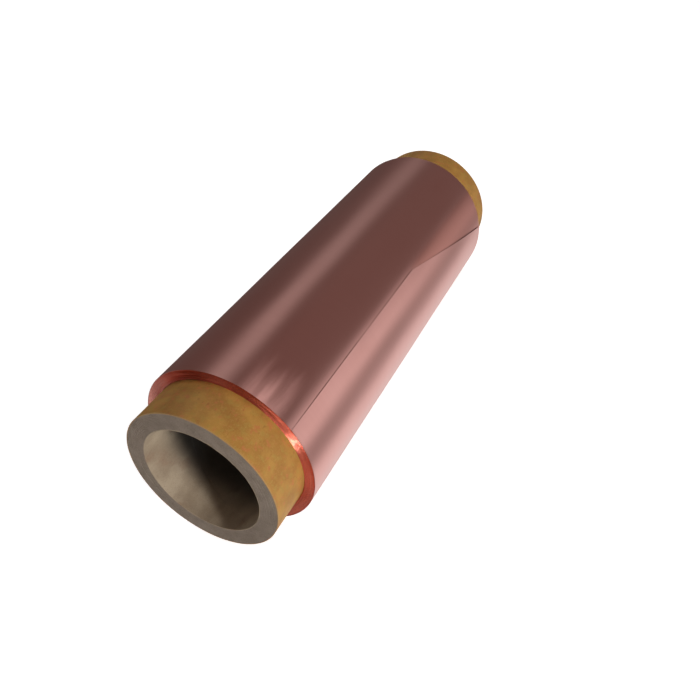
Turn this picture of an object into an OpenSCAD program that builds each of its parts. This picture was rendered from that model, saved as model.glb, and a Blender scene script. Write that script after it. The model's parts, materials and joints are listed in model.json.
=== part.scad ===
// Roll of copper foil wound on a thick spiral-wound paper core, lying on its side.
// The bore axis runs along Y, from the near end (-Y) to the far end (+Y), and Z points up.
// The origin is on the bore axis, halfway along the core.
// Angles round the roll are counted from its top, towards +X.

/* [Paper core] */
// Bore of the core, a standard 3 inch winding core
core_bore_d = 76.2; // [70:0.1:80]
// Length of the core from end face to end face
core_length = 350; // [340:1:500]
// Thickness of the inner liner paper
liner_t = 0.5; // [0.2:0.1:1]
// Thickness of one ply of core board
board_ply_t = 1; // [0.6:0.1:1.4]
// Number of core board plies between the liner and the outer wrap
board_plies = 11; // [4:1:14]
// Thickness of the outer kraft wrap
wrap_t = 0.5; // [0.2:0.1:1]

/* [Foil winding] */
// Width of the foil web
foil_width = 290; // [200:1:300]
// Length of bare core at the near end
near_stub = 28; // [5:1:30]
// Height of the wound foil above the core, at its lowest point
foil_build = 7.1; // [2:0.1:30]
// Radial pitch at which the outermost turn is drawn
turn_pitch = 0.2; // [0.15:0.05:0.5]

/* [Loose end] */
// Angle of the foil's free edge
free_edge_angle = 51; // [20:1:80]
// Angle round the roll from the free edge to the line where the end is still held
loose_end_angle = 36; // [20:1:60]
// Radial gap under the loose end
loose_end_gap = 0.08; // [0.02:0.01:0.1]
// Distance from the near foil edge to the start of the oblique corner
corner_start = 167; // [60:1:180]
// Angle of the loose end that is left beside the oblique corner at the far foil edge
corner_left_angle = 6; // [3:1:12]

/* [Starter tape] */
// Thickness of the tape that holds the first turn to the core
starter_tape_t = 0.1; // [0.05:0.05:0.3]
// Width of the tape round the core
starter_tape_width = 25; // [12:1:50]
// Distance from each foil edge to the end of the tape
starter_tape_inset = 5; // [2:1:20]
// Angle of the middle of the tape
starter_tape_angle = 200; // [0:1:359]

/* [Hidden] */
$fn = 96;

bore_r = core_bore_d / 2;
board_r = bore_r + liner_t;
wrap_r = board_r + board_plies * board_ply_t;
core_r = wrap_r + wrap_t;

near_face = -core_length / 2;
far_face = core_length / 2;
foil_near = near_face + near_stub;
foil_far = foil_near + foil_width;

// The web's outer surface is a spiral of two half circles, which meet on the line of the free edge.
// It is lowest just before the free edge, and one pitch higher just after it.
foil_low_r = core_r + foil_build;
wound_low_r = foil_low_r - turn_pitch;
spiral_shift = turn_pitch / 2;

// The oblique corner runs from the free edge to a point near the root line, at the far foil edge.
corner_angle = loose_end_angle - corner_left_angle;
corner_length = foil_width - corner_start;
corner_across = 2 * (foil_low_r + turn_pitch) * sin(corner_angle / 2);
corner_slope = atan(corner_across / corner_length);
corner_mid_angle = free_edge_angle + corner_angle / 2;
corner_mid = foil_near + corner_start + corner_length / 2;

starter_tape_arc = starter_tape_width / core_r * 180 / PI;

// Longer than any section of the roll, for cutting tools
reach = 4 * (foil_low_r + turn_pitch);

BOARD_PLIES = [for (i = [1:board_plies]) board_ply_name(i)];

function board_ply_name(i) = str("core_board_ply_", i < 10 ? "0" : "", i);

// Draws a section in the X-Z plane and runs it along Y between two stations.
module run_along_y(from, to) {
    translate([0, to, 0])
        rotate([90, 0, 0])
            linear_extrude(height = to - from)
                children();
}

// A tube on the bore axis, the whole length of the core.
module core_tube(inner_r, wall) {
    run_along_y(near_face, far_face)
        difference() {
            circle(r = inner_r + wall);
            circle(r = inner_r);
        }
}

module core_inner_liner() {
    color("#a3927a")
        core_tube(bore_r, liner_t);
}

module core_board_ply(i) {
    color(i % 2 == 0 ? "#8f8172" : "#998a79")
        core_tube(board_r + (i - 1) * board_ply_t, board_ply_t);
}

module core_outer_wrap() {
    color("#a5783c")
        core_tube(wrap_r, wrap_t);
}

// Puts the section's x axis on the line of the free edge.
module on_free_edge_line() {
    rotate(90 - free_edge_angle)
        children();
}

// Half a disc, above or below the line of the free edge, with its centre on that line.
module half_disc(r, shift, above) {
    intersection() {
        translate([shift, 0])
            circle(r = r);
        translate([-reach / 2, above ? 0 : -reach / 2])
            square([reach, reach / 2]);
    }
}

// Everything inside one turn of the web, whose radius is low_r just before the free edge.
module spiral_disc(low_r) {
    on_free_edge_line() {
        half_disc(low_r, 0, true);
        half_disc(low_r + spiral_shift, spiral_shift, false);
    }
}

// The wedge of the section that the loose end takes up.
module loose_end_sector() {
    on_free_edge_line()
        polygon([
            [0, 0],
            [reach, 0],
            [reach * cos(loose_end_angle), -reach * sin(loose_end_angle)]
        ]);
}

module starter_tape_solid() {
    rotate([0, starter_tape_angle - starter_tape_arc / 2, 0])
        translate([0, foil_near + starter_tape_inset, 0])
            rotate([-90, 0, 0])
                rotate_extrude(angle = starter_tape_arc, start = -90)
                    translate([core_r, 0])
                        square([starter_tape_t, foil_width - 2 * starter_tape_inset]);
}

module starter_tape() {
    color("#d9cfae")
        starter_tape_solid();
}

// All the turns under the outermost one.
module foil_winding() {
    color("#a85f4c")
        difference() {
            run_along_y(foil_near, foil_far)
                difference() {
                    spiral_disc(wound_low_r);
                    circle(r = core_r);
                }
            starter_tape_solid();
        }
}

// The outermost turn, from the root of the loose end round to the free edge's line.
module foil_outer_turn() {
    color("#b5776c")
        run_along_y(foil_near, foil_far)
            difference() {
                spiral_disc(foil_low_r);
                spiral_disc(wound_low_r);
                loose_end_sector();
            }
}

// The far side of the oblique cut, which goes square through the web.
module corner_cutter() {
    rotate([0, corner_mid_angle, 0])
        translate([0, corner_mid, 0])
            rotate([0, 0, -corner_slope])
                translate([-reach, -reach, 0])
                    cube([reach, 2 * reach, reach]);
}

// The last stretch of the web, from its free edge to its root on the outer turn.
module foil_loose_end() {
    color("#bd8077")
        difference() {
            run_along_y(foil_near, foil_far)
                intersection() {
                    difference() {
                        spiral_disc(foil_low_r);
                        spiral_disc(wound_low_r + loose_end_gap);
                    }
                    loose_end_sector();
                }
            corner_cutter();
        }
}

core_inner_liner();
for (i = [1:board_plies])
    core_board_ply(i);
core_outer_wrap();
starter_tape();
foil_winding();
foil_outer_turn();
foil_loose_end();
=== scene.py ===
# Looks of the copper foil roll: a web of foil wound on a thick paper core, lying on its side.
#
# Lengths are in metres, in the CAD's own frame: the bore axis runs along Y, from the near end (-Y) to the
# far end (+Y), and Z is up. Angles round the roll are in radians, counted from its top towards +X.
import json
import math

import bmesh
import bpy
import numpy as np
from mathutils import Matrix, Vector

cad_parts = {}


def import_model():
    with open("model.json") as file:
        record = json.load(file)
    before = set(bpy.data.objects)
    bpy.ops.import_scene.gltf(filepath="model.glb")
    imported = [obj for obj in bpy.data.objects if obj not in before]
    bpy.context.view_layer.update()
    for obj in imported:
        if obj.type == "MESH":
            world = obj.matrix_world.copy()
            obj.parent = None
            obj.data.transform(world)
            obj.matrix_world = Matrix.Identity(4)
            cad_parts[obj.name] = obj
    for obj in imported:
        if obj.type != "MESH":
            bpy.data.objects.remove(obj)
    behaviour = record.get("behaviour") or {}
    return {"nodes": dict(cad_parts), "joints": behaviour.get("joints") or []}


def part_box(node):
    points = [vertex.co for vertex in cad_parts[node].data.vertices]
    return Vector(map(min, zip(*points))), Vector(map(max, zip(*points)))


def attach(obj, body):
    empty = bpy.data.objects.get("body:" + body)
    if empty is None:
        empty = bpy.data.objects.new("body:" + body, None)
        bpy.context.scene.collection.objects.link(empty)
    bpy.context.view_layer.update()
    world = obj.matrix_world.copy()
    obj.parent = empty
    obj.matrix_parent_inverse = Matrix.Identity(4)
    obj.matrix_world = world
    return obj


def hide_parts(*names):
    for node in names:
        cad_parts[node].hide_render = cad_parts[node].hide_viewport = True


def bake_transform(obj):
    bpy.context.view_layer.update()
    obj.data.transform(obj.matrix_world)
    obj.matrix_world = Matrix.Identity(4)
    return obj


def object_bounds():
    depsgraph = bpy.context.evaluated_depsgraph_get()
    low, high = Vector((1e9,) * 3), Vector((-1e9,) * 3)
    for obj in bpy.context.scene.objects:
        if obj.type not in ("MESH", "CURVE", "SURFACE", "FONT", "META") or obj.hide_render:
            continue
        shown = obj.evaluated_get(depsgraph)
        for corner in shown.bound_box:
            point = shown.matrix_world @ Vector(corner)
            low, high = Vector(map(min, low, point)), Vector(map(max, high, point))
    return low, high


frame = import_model()
cad_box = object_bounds()

MM = 0.001
TURN = math.tau
rng = np.random.default_rng(35)


# ---------------------------------------------------------------- sizes, from the frame


def vertices(node):
    return np.array([v.co for v in frame["nodes"][node].data.vertices])


def radii(node):
    """Inner and outer radius of a CAD node about the bore axis."""
    co = vertices(node)
    radius = np.hypot(co[:, 0], co[:, 2])
    return radius.min(), radius.max()


def stations(node):
    """Where a CAD node starts and ends along the bore axis."""
    low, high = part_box(node)
    return low.y, high.y


PLIES = sorted(n for n in frame["nodes"] if n.startswith("core_board_ply"))
CORE_FAR = stations("core_outer_wrap")[1]
CORE_RADIUS = radii("core_outer_wrap")[1]
FOIL_NEAR, FOIL_FAR = stations("foil_winding")

# The loose end's outline: its free edge, its root on the hinge line and its oblique far corner.
leaf_points = vertices("foil_loose_end")
leaf_angles = np.arctan2(leaf_points[:, 0], leaf_points[:, 2])
hinge = Vector(frame["joints"][0]["pos_m"])
FREE_EDGE = leaf_angles.min()
ROOT = math.atan2(hinge.x, hinge.z)
CORNER_START = leaf_points[leaf_angles < FREE_EDGE + 0.01, 1].max()
CORNER_END = leaf_angles[leaf_points[:, 1] > FOIL_FAR - 0.1 * MM].min()

# The web's outer surface falls by one pitch a turn, from just after the free edge to just before it.
PITCH = 0.2 * MM
WEB_LOW = math.hypot(hinge.x, hinge.z) - PITCH * (1 + math.cos(ROOT - FREE_EDGE)) / 2


# ---------------------------------------------------------------- sizes that only the looks need

# A small tear in the near rim of the bore is at this angle.
TEAR = math.radians(18)

# Thickness of the outermost turn and of the loose end, as they are drawn.
FOIL_T = 0.05 * MM
# The outermost turn runs on under the loose end, past its root by this much.
TUCK = math.radians(6)
# How many turns show their edges at each end of the winding.
TURNS = 50
# The foil's rows lie closer together near its two long edges, where these are the steps between them.
FOIL_EDGE_STEPS = np.array([0.15, 0.4, 0.8, 1.4, 2.2]) * MM

# Soft bands round the web: waves in a turn, height, phase and how the phase drifts along the axis.
LAY_BANDS = [
    (3, 0.016 * MM, 0.4, 1.0),
    (5, 0.012 * MM, 2.1, -2.0),
    (8, 0.007 * MM, 4.0, 3.0),
    (13, 0.003 * MM, 1.2, -4.0),
]
# Faint cockles in the web: waves in a turn, height, phase and ripples along the axis.
COCKLES = [
    (7, 0.040 * MM, 0.9, 34.0),
    (11, 0.030 * MM, 2.6, 55.0),
    (16, 0.012 * MM, 5.1, 88.0),
]


def web_radius(angle):
    """Radius of the web's outer surface, at an angle that counts on past each full turn."""
    turn, part = np.divmod(np.asarray(angle) - FREE_EDGE, TURN)
    step = np.where(part < math.pi, (1 + np.cos(part)) / 2, 0.0)
    return WEB_LOW + PITCH * (step - turn)


# ---------------------------------------------------------------- mesh building


def around(radius, angle, along):
    """Points at a radius and an angle round the bore axis, and a station along it."""
    radius, angle, along = np.broadcast_arrays(radius, angle, along)
    return np.stack([radius * np.sin(angle), along, radius * np.cos(angle)], axis=-1)


def grid_piece(name, points, closed_columns):
    """A closed skin over a grid of points. Its rows always join up, last to first."""
    sharp_from = math.radians(50)
    rows, columns = points.shape[:2]
    i = np.arange(rows)[:, None]
    j = np.arange(columns if closed_columns else columns - 1)[None, :]
    here, there = i * columns, (i + 1) % rows * columns
    beside = (j + 1) % columns
    quads = np.stack([here + j, here + beside, there + beside, there + j], axis=-1).reshape(-1, 4)
    mesh = bpy.data.meshes.new(name)
    mesh.from_pydata(points.reshape(-1, 3).tolist(), [], quads.tolist())
    skin = bmesh.new()
    skin.from_mesh(mesh)
    if not closed_columns:
        bmesh.ops.holes_fill(skin, edges=[e for e in skin.edges if e.is_boundary], sides=0)
    bmesh.ops.recalc_face_normals(skin, faces=skin.faces)
    skin.to_mesh(mesh)
    skin.free()
    for polygon in mesh.polygons:
        polygon.use_smooth = True
    mesh.set_sharp_from_angle(angle=sharp_from)
    piece = bpy.data.objects.new(name, mesh)
    bpy.context.scene.collection.objects.link(piece)
    return piece


def wander(angle, waves, first):
    """A smooth random curve round the roll, from -1 to 1 or so, that meets itself after a turn.

    It adds up that many waves, and the longest of them fits into a turn first times.
    """
    total = np.zeros_like(angle, dtype=float)
    for n in range(first, first + waves):
        total += rng.normal() / math.sqrt(n) * np.sin(n * angle + rng.uniform(0, TURN))
    return total / math.sqrt(sum(1 / n for n in range(first, first + waves)))


def bump_at(angle, middle, width):
    """A smooth hump of height 1, as wide as width to each side."""
    off = np.angle(np.exp(1j * (angle - middle)))
    return np.exp(-((off / width) ** 2))


def dense_ends(start, end, edge_steps, step):
    """Stations from start to end: the given small steps in from each end, and even ones between."""
    inset = np.cumsum([0.0, *edge_steps])
    count = max(2, round((end - start - 2 * inset[-1]) / step))
    middle = np.linspace(start + inset[-1], end - inset[-1], count + 1)[1:-1]
    return np.concatenate([start + inset, middle, end - inset[::-1]])


# ---------------------------------------------------------------- paper core


def seam_columns(radius, count):
    """Angles round a spiral-wound paper tube, from its seam, with more of them beside the seam."""
    beside = np.array([0.15, 0.3, 0.5, 0.8, 1.4, 2.5, 4.5]) * MM / radius
    rest = np.linspace(beside[-1], TURN - beside[-1], count)[1:-1]
    return np.concatenate([[0.0], beside, rest, TURN - beside[::-1]])


def seam_relief(column, radius):
    """Height of the paper beside its seam: a narrow gap, with one edge a little proud."""
    gap_depth, gap_width = 0.14 * MM, 0.3 * MM
    edge_height, edge_width = 0.09 * MM, 2.2 * MM
    arc = np.where(column > math.pi, column - TURN, column) * radius
    gap = -gap_depth * np.exp(-((arc / gap_width) ** 2))
    edge = edge_height * np.exp(-np.abs(arc) / edge_width) * (arc > 0)
    return gap + edge


def paper_tube(name, node, strip_advance, seam_start, outward, columns, end_wear):
    """A ply whose face shows, wound from one strip, so that its seam is a helix.

    strip_advance is how far the seam runs along the axis in a turn, and seam_start is its angle at the
    near end. outward is 1 where the outside shows and -1 where the bore does. end_wear gives how far the
    rim has worn back at each angle: near end, far end.
    """
    lip, row_step, slack_height = 0.16 * MM, 1.6 * MM, 0.05 * MM
    inner, outer = radii(node)
    near, far = stations(node)
    shown, hidden = (outer, inner) if outward > 0 else (inner, outer)
    column = seam_columns(shown, columns)[None, :]
    along = dense_ends(near + lip, far - lip, [0.4 * MM, 0.8 * MM], row_step)[:, None]
    angle = column + seam_start + TURN * (along - near) / strip_advance
    slack = slack_height * np.sin(3 * angle + 40 * along) * np.sin(90 * along + 2 * angle)
    face = around(shown + outward * (seam_relief(column, shown) + slack), angle, along)
    back = around(hidden, angle, along)[::-1]
    near_angle, far_angle = angle[:1], angle[-1:]
    near_wear, far_wear = end_wear(near_angle, far_angle)
    near_rim, far_rim = [], []
    for share in (0.35, 0.75, 1.0):
        edge = shown - outward * (1 - math.cos(share * math.pi / 2)) * lip
        rise = lip * math.sin(share * math.pi / 2)
        near_rim.append(around(edge, near_angle, near + lip - rise + near_wear))
        far_rim.append(around(edge, far_angle, far - lip + rise - far_wear))
    near_back = around(hidden, near_angle, near + near_wear)
    far_back = around(hidden, far_angle, far - far_wear)
    rows = [face, *far_rim, far_back, back, near_back, *near_rim[::-1]]
    return grid_piece(name, np.concatenate(rows), closed_columns=True)


def wrap_wear(near_angle, far_angle):
    """The kraft's cut ends: nearly square, a little rubbed."""
    near_depth, far_depth = 0.05 * MM, 0.06 * MM
    near = near_depth * (1 + wander(near_angle, 14, 2))
    far = far_depth * (1 + wander(far_angle, 14, 2))
    return np.abs(near), np.abs(far)


def liner_wear(near_angle, far_angle):
    """The liner's cut ends: fuzzy, with one small tear near the top of the near end."""
    near_depth, far_depth, tear_depth, tear_width = 0.07 * MM, 0.08 * MM, 1.3 * MM, 0.035
    near = near_depth * (1 + wander(near_angle, 18, 3))
    near = near + tear_depth * bump_at(near_angle, TEAR, tear_width)
    far = far_depth * (1 + wander(far_angle, 18, 3))
    return np.abs(near), np.abs(far)


def board_ply(index, node):
    """One ply of core board. Its cut ends show as thin crowned rings, with a fine groove on each side."""
    groove_depth, fibre_height, sway_height, least = 0.10 * MM, 0.022 * MM, 0.03 * MM, 0.01 * MM
    tear_depth, tear_width = 0.7 * MM, 0.03
    inner, outer = radii(node)
    near, far = stations(node)
    angle = np.linspace(0, TURN, 300, endpoint=False)[None, :]
    across = np.array([0.0, 0.12, 0.3, 0.55, 0.8, 0.92, 1.0])[:, None]
    groove = groove_depth * np.abs(2 * across - 1) ** 5
    ends = []
    for _ in range(2):
        level = abs(rng.normal(0.03, 0.04)) * MM
        fibres = fibre_height * rng.normal(size=(len(across), angle.size))
        fibres[[0, -1]] *= 0.3
        sway = sway_height * wander(angle, 9, 2)
        ends.append(np.abs(level + groove + sway + fibres) + least)
    if index == 0:
        ends[0] = ends[0] + tear_depth * bump_at(angle, TEAR, tear_width) * (1 - across) ** 2
    wall = outer - inner
    near_end = around(inner + across * wall, angle, near + ends[0])
    far_end = around(inner + across[::-1] * wall, angle, far - ends[1][::-1])
    rows = [near_end, far_end]
    return grid_piece(f"board_ply_{index + 1:02d}", np.concatenate(rows), closed_columns=True)


# ---------------------------------------------------------------- foil


def lay(angle, along):
    """How far the wound web lies from its true outline, always below it."""
    edge_width, flutter_height = 7 * MM, 0.03 * MM
    depth = 0.0
    for waves, height, phase, drift in LAY_BANDS:
        depth = depth + height * (1 - np.sin(waves * angle + phase + drift * along))
    for waves, height, phase, ripples in COCKLES:
        crests = np.sin(waves * angle + phase) * np.sin(ripples * along + 2 * phase)
        depth = depth + height * (1 - crests)
    # Its two long edges are livelier than the rest.
    edge = np.exp(-(along - FOIL_NEAR) / edge_width) + np.exp(-(FOIL_FAR - along) / edge_width)
    flutter = flutter_height * (1 + np.sin(17 * angle + 1.0) * np.sin(5 * angle + 0.4))
    return -depth - edge * flutter


def foil_sheet(name, angle, along, lift=0.0):
    """A sheet of the web over a grid of angles and stations, lifted off the roll or not."""
    radius = web_radius(angle) + lay(angle, along) + lift
    outside = around(radius, angle, along)
    inside = around(radius - FOIL_T, angle, along)[::-1]
    return grid_piece(name, np.concatenate([outside, inside]), closed_columns=False)


def outer_turn():
    """The outermost turn, slightly ragged along its two long edges, which runs on under the loose end."""
    ragged_height, ragged_from = 0.05 * MM, 0.95
    row_step, columns = 4 * MM, 420
    angle = np.linspace(ROOT, TURN + ROOT + TUCK, columns)[None, :]
    along = dense_ends(FOIL_NEAR, FOIL_FAR, FOIL_EDGE_STEPS, row_step)[:, None]
    ragged = ragged_height * wander(angle, 24, 2)
    inward = 1 - 2 * (along - FOIL_NEAR) / (FOIL_FAR - FOIL_NEAR)
    along = along + ragged * inward * (np.abs(inward) > ragged_from)
    return foil_sheet("outer_turn", angle, along)


def loose_end():
    """The last stretch of the web: a touch lifted along its free edge, its far corner cut obliquely."""
    row_step, columns, held_from = 2.5 * MM, 64, math.radians(8)
    edge_lift, corner_lift = 0.20 * MM, 0.3 * MM
    edge_reach, corner_reach = 3.5 * MM, 2 * MM
    along = dense_ends(FOIL_NEAR, FOIL_FAR, FOIL_EDGE_STEPS, row_step)[:, None]
    cut = np.clip((along - CORNER_START) / (FOIL_FAR - CORNER_START), 0, 1)
    start = FREE_EDGE + cut * (CORNER_END - FREE_EDGE)
    share = (1 - np.cos(np.linspace(0, math.pi, columns)[None, :])) / 2
    angle = start + share * (ROOT - start)
    from_edge = (angle - start) * WEB_LOW
    free = np.clip((ROOT - angle) / held_from, 0, 1)
    waviness = 0.08 * MM * np.sin(61 * along + 1.3) + 0.05 * MM * np.sin(143 * along)
    curl = edge_lift + waviness + corner_lift * cut
    lift = free * curl * np.exp(-from_edge / (edge_reach + corner_reach * cut))
    return foil_sheet("loose_end", angle, along, lift)


# An end of each turn is a groove and a flat land: where its rings lie across it, and which stand proud.
TURN_ACROSS = [0.0, 0.35, 0.65]
TURN_PROUD = [0.0, 1.0, 1.0]


def turn_edges(angle):
    """How deep the edges of the turns lie inside an end of the winding, not quite flush."""
    depth, least, proud_by, sway_height = 0.16 * MM, 0.02 * MM, 0.05 * MM, 0.012 * MM
    rings = len(TURN_ACROSS) * TURNS + 1
    level = np.cumsum(rng.normal(0, 0.022, TURNS + 1))
    level = level - np.linspace(level[0], level[-1], TURNS + 1)
    level = (level + rng.normal(0, 0.018, TURNS + 1)) * MM
    level = np.repeat(level, len(TURN_ACROSS))[:rings, None]
    sway = np.zeros((rings, angle.size))
    for waves in range(1, 6):
        phase = np.repeat(rng.uniform(0, TURN, TURNS + 1), len(TURN_ACROSS))[:rings, None]
        sway = sway + sway_height * np.sin(waves * angle + phase)
    proud = np.append(np.tile(TURN_PROUD, TURNS), 0.0)[:, None]
    return np.clip(depth + level + sway - proud_by * proud, least, None)


def winding():
    """All the turns under the outermost one. At each end their edges show as fine rings."""
    core_gap, turn_gap, ease = 0.12 * MM, 0.03 * MM, math.radians(12)
    sunk, sunk_from = 0.2 * MM, 5 * MM
    angle = np.linspace(0, TURN, 320, endpoint=False)[None, :]
    over = np.where(angle < FREE_EDGE, angle + TURN, angle)
    under_leaf = np.clip((ROOT + TUCK - angle) / ease + 1, 0, 1) * (angle >= FREE_EDGE)
    inner = CORE_RADIUS + core_gap
    outer = web_radius(over + TURN) - FOIL_T - turn_gap - PITCH * under_leaf
    across = np.append(np.add.outer(np.arange(TURNS), TURN_ACROSS), TURNS)[:, None] / TURNS
    radius = inner + across * (outer - inner)
    near_end = around(radius, angle, FOIL_NEAR + turn_edges(angle))
    far_end = around(radius, angle, FOIL_FAR - turn_edges(angle))[::-1]
    # Between its ends the winding lies deeper, clear of the soft bands of the turn over it.
    near_sunk = around(outer - sunk, angle, FOIL_NEAR + sunk_from)
    far_sunk = around(outer - sunk, angle, FOIL_FAR - sunk_from)
    rows = [near_end, near_sunk, far_sunk, far_end]
    return grid_piece("winding", np.concatenate(rows), closed_columns=True)


# ---------------------------------------------------------------- materials


class NodeTree:
    """The node tree of a material or world, with short ways to add to it."""

    def __init__(self, owner):
        owner.use_nodes = True
        self.tree = owner.node_tree

    def feed(self, socket, value):
        """Gives an input a value of its own, or a link where the value is another node's output."""
        if isinstance(value, bpy.types.NodeSocket):
            self.tree.links.new(value, socket)
        else:
            socket.default_value = value

    def node(self, kind, inputs=None, **settings):
        made = self.tree.nodes.new(kind)
        for key, value in settings.items():
            setattr(made, key, value)
        for key, value in (inputs or {}).items():
            self.feed(made.inputs[key], value)
        return made

    def math(self, operation, a, b=0.0, c=0.0):
        return self.node("ShaderNodeMath", {0: a, 1: b, 2: c}, operation=operation).outputs[0]

    def spread(self, value, low, high, to_low=0.0, to_high=1.0):
        """Takes a value between low and high smoothly to one between to_low and to_high."""
        inputs = {"Value": value, "From Min": low, "From Max": high, "To Min": to_low, "To Max": to_high}
        return self.node("ShaderNodeMapRange", inputs, interpolation_type="SMOOTHSTEP").outputs["Result"]


class Shader(NodeTree):
    """A material being built."""

    def __init__(self, name):
        self.material = bpy.data.materials.new(name)
        super().__init__(self.material)
        self.surface = next(n for n in self.tree.nodes if n.type == "BSDF_PRINCIPLED")
        self.place = self.node("ShaderNodeTexCoord").outputs["Object"]

    def set(self, **values):
        """Sets the surface's own sockets, with underscores for the spaces in their names."""
        for key, value in values.items():
            self.feed(self.surface.inputs[key.replace("_", " ")], value)

    def noise(self, scale, detail=3.0, stretch=(1, 1, 1), twist=0.0):
        """Noise from 0 to 1 with about scale grains a metre, stretched along the axes, then twisted."""
        grains = [scale * share for share in stretch]
        fitted = self.node("ShaderNodeVectorMath", {0: self.place, 1: grains}, operation="MULTIPLY")
        inputs = {"Vector": fitted.outputs[0], "Scale": 1.0, "Detail": detail, "Distortion": twist}
        return self.node("ShaderNodeTexNoise", inputs).outputs["Fac"]

    def layers(self, radius, scale, detail):
        """Noise from 0 to 1 that changes only with the distance from the bore axis, as layers do."""
        inputs = {"W": self.math("MULTIPLY", radius, scale), "Scale": 1.0, "Detail": detail}
        return self.node("ShaderNodeTexNoise", inputs, noise_dimensions="1D").outputs["Fac"]

    def fibres(self, scale):
        """Two crossed layers of short paper fibres, curled so that they lie every way."""
        lengthwise = self.math("MULTIPLY", self.noise(scale, 3, (1.0, 0.22, 1.0), 2.2), 0.5)
        crosswise = self.math("MULTIPLY", self.noise(scale, 3, (0.3, 1.0, 0.3), 2.2), 0.5)
        return self.math("ADD", lengthwise, crosswise)

    def mix(self, share, a, b):
        """A colour between two others, each given as a socket or as its red, green and blue."""
        a, b = (c if isinstance(c, bpy.types.NodeSocket) else (*c, 1.0) for c in (a, b))
        return self.node("ShaderNodeMix", {0: share, 6: a, 7: b}, data_type="RGBA").outputs[2]

    def polar(self):
        """Angle round the bore axis, distance from it and station along it."""
        split = self.node("ShaderNodeSeparateXYZ", {0: self.place}).outputs
        angle = self.math("ARCTAN2", split["X"], split["Z"])
        across = self.math("MULTIPLY", split["X"], split["X"])
        up = self.math("MULTIPLY", split["Z"], split["Z"])
        return angle, self.math("SQRT", self.math("ADD", across, up)), split["Y"]

    def about(self, value, middle, full, gone):
        """1 within one distance of a middle value, falling to 0 at another."""
        away = self.math("ABSOLUTE", self.math("SUBTRACT", value, middle))
        return self.spread(away, full, gone, 1.0, 0.0)

    def bump(self, height, strength, distance):
        made = self.node("ShaderNodeBump", {"Height": height, "Strength": strength, "Distance": distance})
        self.set(Normal=made.outputs["Normal"])


def corner_shade_mask(s, angle, along, strength):
    """Where a painted shade goes: the strength given over the stretch that the loose end's cut corner
    leaves bare, 0 elsewhere.
    """
    half, soft = (CORNER_END - FREE_EDGE) / 2, math.radians(5.5)
    start, full = CORNER_START - 12 * MM, CORNER_START + 16 * MM
    corner_shade_share = s.about(angle, FREE_EDGE + half, half, half + soft)
    corner_shade_share = s.math("MULTIPLY", corner_shade_share, strength)
    return s.math("MULTIPLY", corner_shade_share, s.spread(along, start, full))


def handling_film(s, angle, along):
    """A streaky matt film near the near end, as a share of bare metal: 1 where there is none."""
    middle, full, gone = math.radians(28), math.radians(2), math.radians(17)
    start, end = FOIL_NEAR - 26 * MM, FOIL_NEAR + 12 * MM
    strength, streak_length = 0.80, 40 * MM
    handled = s.about(angle, middle, full, gone)
    streaks = s.noise(150, 2, (1, 0.10, 1))
    inward = s.math("MULTIPLY_ADD", streaks, -streak_length, along)
    handled = s.math("MULTIPLY", handled, s.spread(inward, start, end, 1.0, 0.0))
    streaks = s.spread(streaks, 0.3, 0.7, 0.7, 1.0)
    return s.math("MULTIPLY_ADD", s.math("MULTIPLY", handled, streaks), -strength, 1.0)


def copper_foil(name, corner_shade_strength):
    """Satin rolled copper: a pinkish metal with fine rolling lines round the roll and a faint haze.

    The second argument gives how strongly the web is painted darker and redder, as painted shade, where
    the loose end's cut corner leaves it bare.
    """
    s = Shader(name)
    angle, _, along = s.polar()
    cloud = s.noise(16, 2, (1, 0.3, 1))
    lines = s.noise(520, 1, (0.02, 1, 0.02))
    haze = s.noise(34, 2, (1, 0.3, 1))
    deep, pale, hazy = (0.79, 0.405, 0.360), (0.83, 0.450, 0.405), (0.75, 0.365, 0.320)
    lined, corner_shade_tone = (0.62, 0.30, 0.26), (0.62, 0.245, 0.195)
    tone = s.mix(s.spread(cloud, 0.3, 0.7), deep, pale)
    tone = s.mix(s.spread(haze, 0.5, 0.75, 0, 0.3), tone, hazy)
    tone = s.mix(s.spread(lines, 0.35, 0.65, 0, 0.035), tone, lined)
    # Painted shade: darker and redder where the loose end's cut corner leaves the web bare.
    tone = s.mix(corner_shade_mask(s, angle, along, corner_shade_strength), tone, corner_shade_tone)
    rough = s.math("ADD", s.spread(haze, 0.35, 0.7, 0.278, 0.312), s.spread(lines, 0.3, 0.7, 0, 0.012))
    s.set(Base_Color=tone, Metallic=handling_film(s, angle, along), Roughness=rough)
    tangent = s.node("ShaderNodeTangent", direction_type="RADIAL", axis="Y")
    s.set(Anisotropic=0.45, Anisotropic_Rotation=0.25, Tangent=tangent.outputs[0])
    s.bump(s.math("ADD", s.math("MULTIPLY", lines, 0.06), haze), 0.25, 0.02 * MM)
    return s.material


def copper_edges():
    """The stacked edges of the turns: slit copper, redder and deeper than the face of the web.

    They are painted paler on the side away from the loose end: a painted reflection of light.
    """
    s = Shader("copper_edges")
    angle, radius, _ = s.polar()
    turns = s.layers(radius, 14000.0, 2.0)
    blot = s.noise(160, 3)
    deep, bright = (0.50, 0.100, 0.062), (0.80, 0.225, 0.145)
    dull, pale = (0.60, 0.185, 0.135), (0.86, 0.42, 0.36)
    tone = s.mix(s.spread(turns, 0.3, 0.7), deep, bright)
    tone = s.mix(s.spread(blot, 0.45, 0.75, 0, 0.5), tone, dull)
    # Painted reflection: the edges are painted paler around -62 degrees, where they catch light.
    wear_and_reflection = s.about(angle, math.radians(-62), math.radians(10), math.radians(30))
    tone = s.mix(s.math("MULTIPLY", wear_and_reflection, 0.7), tone, pale)
    s.set(Base_Color=tone, Metallic=1.0, Roughness=s.spread(blot, 0.3, 0.7, 0.205, 0.265))
    s.bump(turns, 0.6, 0.04 * MM)
    return s.material


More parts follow.
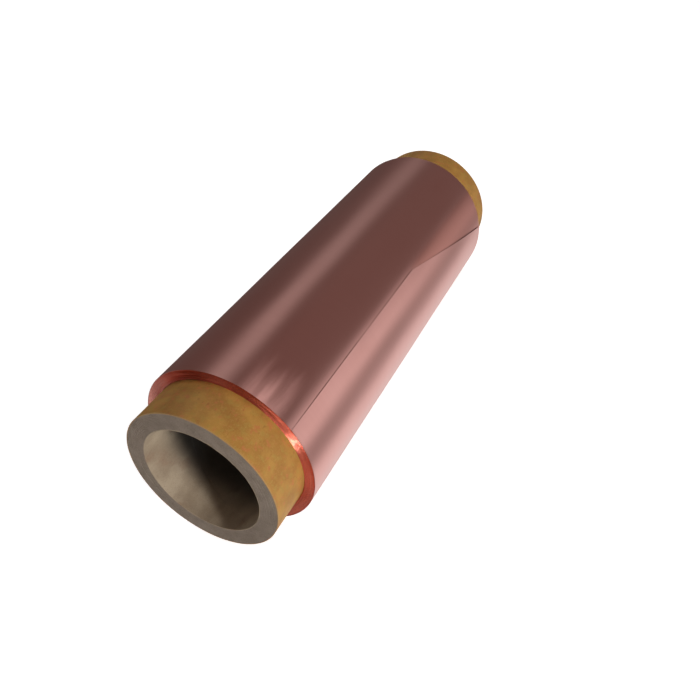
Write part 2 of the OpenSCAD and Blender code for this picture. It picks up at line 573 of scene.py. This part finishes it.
def kraft_paper():
    """Golden-brown kraft: cloudy, flecked with darker and redder fibres, and rubbed paler at its ends."""
    s = Shader("kraft_paper")
    cloud = s.noise(95, 4)
    fibres = s.fibres(1500)
    fleck = s.noise(520, 2, (1.0, 0.45, 1.0))
    red = s.noise(290, 2)
    brown, golden = (0.330, 0.158, 0.034), (0.425, 0.224, 0.048)
    reddish, greenish = (0.455, 0.150, 0.050), (0.345, 0.225, 0.048)
    dark_fleck, pale_fibre, dark_fibre = (0.26, 0.115, 0.028), (0.54, 0.31, 0.10), (0.29, 0.13, 0.032)
    wear_and_reflection = (0.40, 0.26, 0.12)
    tone = s.mix(s.spread(cloud, 0.32, 0.68), brown, golden)
    tone = s.mix(s.spread(red, 0.57, 0.70, 0, 0.70), tone, reddish)
    tone = s.mix(s.spread(red, 0.34, 0.46, 0.5, 0), tone, greenish)
    tone = s.mix(s.spread(fleck, 0.60, 0.74, 0, 0.55), tone, dark_fleck)
    tone = s.mix(s.spread(fibres, 0.52, 0.62, 0, 0.35), tone, pale_fibre)
    tone = s.mix(s.spread(fibres, 0.36, 0.46, 0.30, 0), tone, dark_fibre)
    from_middle = s.math("ABSOLUTE", s.polar()[2])
    frayed = s.math("MULTIPLY_ADD", fibres, 1.2 * MM, from_middle)
    worn = s.spread(frayed, CORE_FAR - 0.4 * MM, CORE_FAR + 0.6 * MM)
    tone = s.mix(s.math("MULTIPLY", worn, 0.7), tone, wear_and_reflection)
    s.set(Base_Color=tone, Roughness=s.spread(fibres, 0.35, 0.65, 0.50, 0.68), Specular_IOR_Level=0.35)
    s.bump(s.math("ADD", fibres, s.math("MULTIPLY", fleck, 0.5)), 0.5, 0.06 * MM)
    return s.material


def core_board():
    """Cut ends of grey-brown core board: dull, layered and speckled with recycled fibre."""
    s = Shader("core_board")
    cloud = s.noise(120, 4)
    fibres = s.fibres(2600)
    speck = s.noise(1300, 2)
    plies = s.layers(s.polar()[1], 3200.0, 1.0)
    dark, pale, layered = (0.220, 0.178, 0.138), (0.280, 0.232, 0.183), (0.215, 0.165, 0.130)
    dark_speck, pale_fibre = (0.15, 0.11, 0.085), (0.42, 0.36, 0.30)
    tone = s.mix(s.spread(cloud, 0.3, 0.7), dark, pale)
    tone = s.mix(s.spread(plies, 0.35, 0.65, 0, 0.35), tone, layered)
    tone = s.mix(s.spread(speck, 0.60, 0.72, 0, 0.6), tone, dark_speck)
    tone = s.mix(s.spread(fibres, 0.54, 0.64, 0, 0.4), tone, pale_fibre)
    s.set(Base_Color=tone, Roughness=0.88, Specular_IOR_Level=0.2)
    s.bump(s.math("ADD", fibres, s.math("MULTIPLY", speck, 0.6)), 0.8, 0.12 * MM)
    return s.material


def liner_paper():
    """Inside of the core: smoother grey-beige paper, with a painted shade that darkens it further in from
    each end.
    """
    s = Shader("liner_paper")
    cloud = s.noise(75, 4, (1, 0.5, 1))
    fibres = s.fibres(1700)
    stains = s.noise(120, 3, (1, 0.6, 1))
    grey, beige = (0.305, 0.232, 0.158), (0.430, 0.342, 0.240)
    stained, painted_depth_shade = (0.27, 0.165, 0.105), (0.045, 0.042, 0.036)
    dark_fibre, pale_fibre = (0.20, 0.15, 0.105), (0.42, 0.36, 0.275)
    tone = s.mix(s.spread(cloud, 0.32, 0.68), grey, beige)
    tone = s.mix(s.spread(stains, 0.56, 0.70, 0, 0.5), tone, stained)
    tone = s.mix(s.spread(fibres, 0.38, 0.50, 0.35, 0), tone, dark_fibre)
    tone = s.mix(s.spread(fibres, 0.54, 0.64, 0, 0.3), tone, pale_fibre)
    # Painted shade: the paper is painted darker from 9 mm in from each end and nearly black past 35 mm,
    # where the bore is in shade.
    from_end = s.math("SUBTRACT", CORE_FAR, s.math("ABSOLUTE", s.polar()[2]))
    tone = s.mix(s.spread(from_end, 9 * MM, 35 * MM, 0.0, 0.9), tone, painted_depth_shade)
    s.set(Base_Color=tone, Roughness=s.spread(cloud, 0.3, 0.7, 0.58, 0.70), Specular_IOR_Level=0.3)
    s.bump(fibres, 0.5, 0.06 * MM)
    return s.material


def starter_tape():
    """Thin double-sided tape, hidden under the first turn."""
    s = Shader("starter_tape")
    cloud = s.noise(300, 3)
    cream, pale = (0.72, 0.66, 0.50), (0.80, 0.75, 0.60)
    s.set(Base_Color=s.mix(cloud, cream, pale), Roughness=s.spread(cloud, 0.3, 0.7, 0.3, 0.45))
    s.bump(cloud, 0.3, 0.03 * MM)
    return s.material


# ---------------------------------------------------------------- putting the roll together


def place(piece, body, material, node):
    """Gives a piece its material, hides the CAD node that it stands for and hangs it on the body it moves
    with, if it has one.
    """
    piece.data.materials.append(material)
    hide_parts(node)
    if body:
        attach(piece, body)


def build_core():
    board, kraft, liner = core_board(), kraft_paper(), liner_paper()
    wrap_seam = {"strip_advance": 128 * MM, "seam_start": 3.6}
    liner_seam = {"strip_advance": 108 * MM, "seam_start": 2.2}
    wrap = paper_tube(
        "kraft_wrap", "core_outer_wrap", **wrap_seam, outward=1, columns=120, end_wear=wrap_wear
    )
    place(wrap, "roll", kraft, "core_outer_wrap")
    bore = paper_tube(
        "bore_liner", "core_inner_liner", **liner_seam, outward=-1, columns=110, end_wear=liner_wear
    )
    place(bore, "roll", liner, "core_inner_liner")
    for index, node in enumerate(PLIES):
        place(board_ply(index, node), "roll", board, node)


def build_foil():
    place(winding(), "roll", copper_edges(), "foil_winding")
    # The number given to each copper_foil is the strength of its painted corner shade.
    place(outer_turn(), "roll", copper_foil("copper_foil", 0.62), "foil_outer_turn")
    leaf = loose_end()
    place(leaf, None, copper_foil("copper_foil_end", 0.0), "foil_loose_end")
    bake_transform(leaf)


def finish_tape():
    """The tape keeps its CAD shape, with a better material."""
    materials = frame["nodes"]["starter_tape"].data.materials
    materials.clear()
    materials.append(starter_tape())


build_core()
build_foil()
finish_tape()


# ---------------------------------------------------------------- camera, floor and light

FLOOR_GLOW = 0.72
BACKDROP = (0.9, 0.9, 0.9, 1)

# Soft strip lights, parallel to the roll and far from it. For each: its middle, half width and softness
# as angles round the roll in degrees, its brightness, where along the axis it fades (as the Y part of a
# direction) and to what share, and its colour.
STRIPS = [
    (-34, 6, 13, 0.35, (0.70, 0.80), 0.50, (0.93, 1.0, 1.0)),
    (28, 25, 25, 0.055, (0.74, 0.86), 0.60, (1.0, 0.72, 0.66)),
    (86.5, 8.5, 13.5, 0.67, (0.74, 0.83), 0.24, (1.0, 1.0, 1.0)),
    (112, 12, 14, 0.195, (0.74, 0.84), 0.90, (1.0, 1.0, 1.0)),
    (162, 18, 22, 0.80, (0.74, 0.84), 0.95, (1.0, 1.0, 1.0)),
    (-132, 8, 22, 0.50, (0.00, 0.30), 0.0, (1.0, 0.95, 0.92)),
]
# Light from everywhere else in the room.
DIM = (0.120, 0.092, 0.085)

# Round lights. For each: its name, the direction towards it, its diameter, its power in watts and whether
# it lights the matt surfaces or the shiny ones.
AREA_LIGHTS = [
    ("key", (0.885, -0.355, 0.28), 0.24, 16.5, "matt"),
    ("top", (-0.45, 0.15, 0.9), 1.0, 4.5, "matt"),
    ("back", (-0.6, 0.75, 0.35), 0.6, 2.5, "matt"),
    ("glint", (0.83, -0.55, -0.01), 0.22, 15.5, "shiny"),
    ("front", (0.20, -0.97, -0.05), 0.75, 3.5, "shiny"),
]


def put_facing(name, data, target, towards, distance):
    """Puts a camera or light at a distance and direction from a target, and turns it to face that."""
    made = bpy.data.objects.new(name, data)
    made.location = target + distance * towards
    made.rotation_mode = "QUATERNION"
    made.rotation_quaternion = (-towards).to_track_quat("-Z", "Y")
    bpy.context.scene.collection.objects.link(made)
    return made


def camera():
    """The photograph's view: from above, to the right of the near end."""
    azimuth, elevation, distance = math.radians(26.12), math.radians(40.72), 0.45
    target = Vector((0.02975, -0.0471, 0.0092))
    level = math.cos(elevation)
    towards = Vector((math.sin(azimuth) * level, -math.cos(azimuth) * level, math.sin(elevation)))
    data = bpy.data.cameras.new("camera")
    data.sensor_width, data.lens = 36.0, 35.16
    bpy.context.scene.camera = put_facing("camera", data, target, towards, distance)


def floor():
    """A plain pale floor, lifted towards white for the camera and kept out of the reflections."""
    size, level = 6.0, cad_box[0].z
    mesh = bpy.data.meshes.new("floor")
    corners = [(-size, -size, level), (size, -size, level), (size, size, level), (-size, size, level)]
    mesh.from_pydata(corners, [], [(0, 1, 2, 3)])
    made = bpy.data.objects.new("floor", mesh)
    bpy.context.scene.collection.objects.link(made)
    s = Shader("floor")
    seen = s.node("ShaderNodeLightPath").outputs["Is Camera Ray"]
    s.set(Base_Color=(0.86, 0.86, 0.86, 1), Roughness=0.9)
    s.set(Emission_Color=(1, 1, 1, 1), Emission_Strength=s.math("MULTIPLY", seen, FLOOR_GLOW))
    made.data.materials.append(s.material)
    made.visible_glossy = False


def world():
    """A dim room with soft strip lights parallel to the roll, and a pale backdrop for the camera."""
    made = bpy.data.worlds.new("studio")
    bpy.context.scene.world = made
    w = NodeTree(made)
    w.tree.nodes.clear()
    direction = w.node("ShaderNodeTexCoord").outputs["Generated"]
    split = w.node("ShaderNodeSeparateXYZ", {0: direction}).outputs
    angle = w.math("ARCTAN2", split["X"], split["Z"])
    total = DIM
    for middle, half, soft, brightness, (fade_from, fade_to), share_left, colour in STRIPS:
        off = w.math("WRAP", w.math("SUBTRACT", angle, math.radians(middle)), math.pi, -math.pi)
        inside = w.spread(w.math("ABSOLUTE", off), math.radians(half + soft), math.radians(half))
        fade = w.spread(split["Y"], fade_from, fade_to, 1.0, share_left)
        full = [brightness * part for part in colour]
        light = {0: full, "Scale": w.math("MULTIPLY", inside, fade)}
        light = w.node("ShaderNodeVectorMath", light, operation="SCALE").outputs[0]
        total = w.node("ShaderNodeVectorMath", {0: light, 1: total}, operation="ADD").outputs[0]
    room = w.node("ShaderNodeBackground", {"Color": total}).outputs[0]
    backdrop = w.node("ShaderNodeBackground", {"Color": BACKDROP}).outputs[0]
    seen = w.node("ShaderNodeLightPath").outputs["Is Camera Ray"]
    choose = w.node("ShaderNodeMixShader", {0: seen, 1: room, 2: backdrop}).outputs[0]
    w.node("ShaderNodeOutputWorld", {"Surface": choose})


def area_light(name, direction, size, power, seen_by):
    """A round light 1.5 m from the roll's nearer half."""
    aim, distance = Vector((0, -0.1, 0)), 1.5
    data = bpy.data.lights.new(name, "AREA")
    data.shape, data.size, data.energy = "DISK", size, power
    made = put_facing(name, data, aim, Vector(direction).normalized(), distance)
    made.visible_camera = False
    made.visible_glossy = seen_by == "shiny"
    made.visible_diffuse = seen_by == "matt"


camera()
floor()
world()
for light in AREA_LIGHTS:
    area_light(*light)
bpy.context.scene.view_settings.view_transform = "Standard"
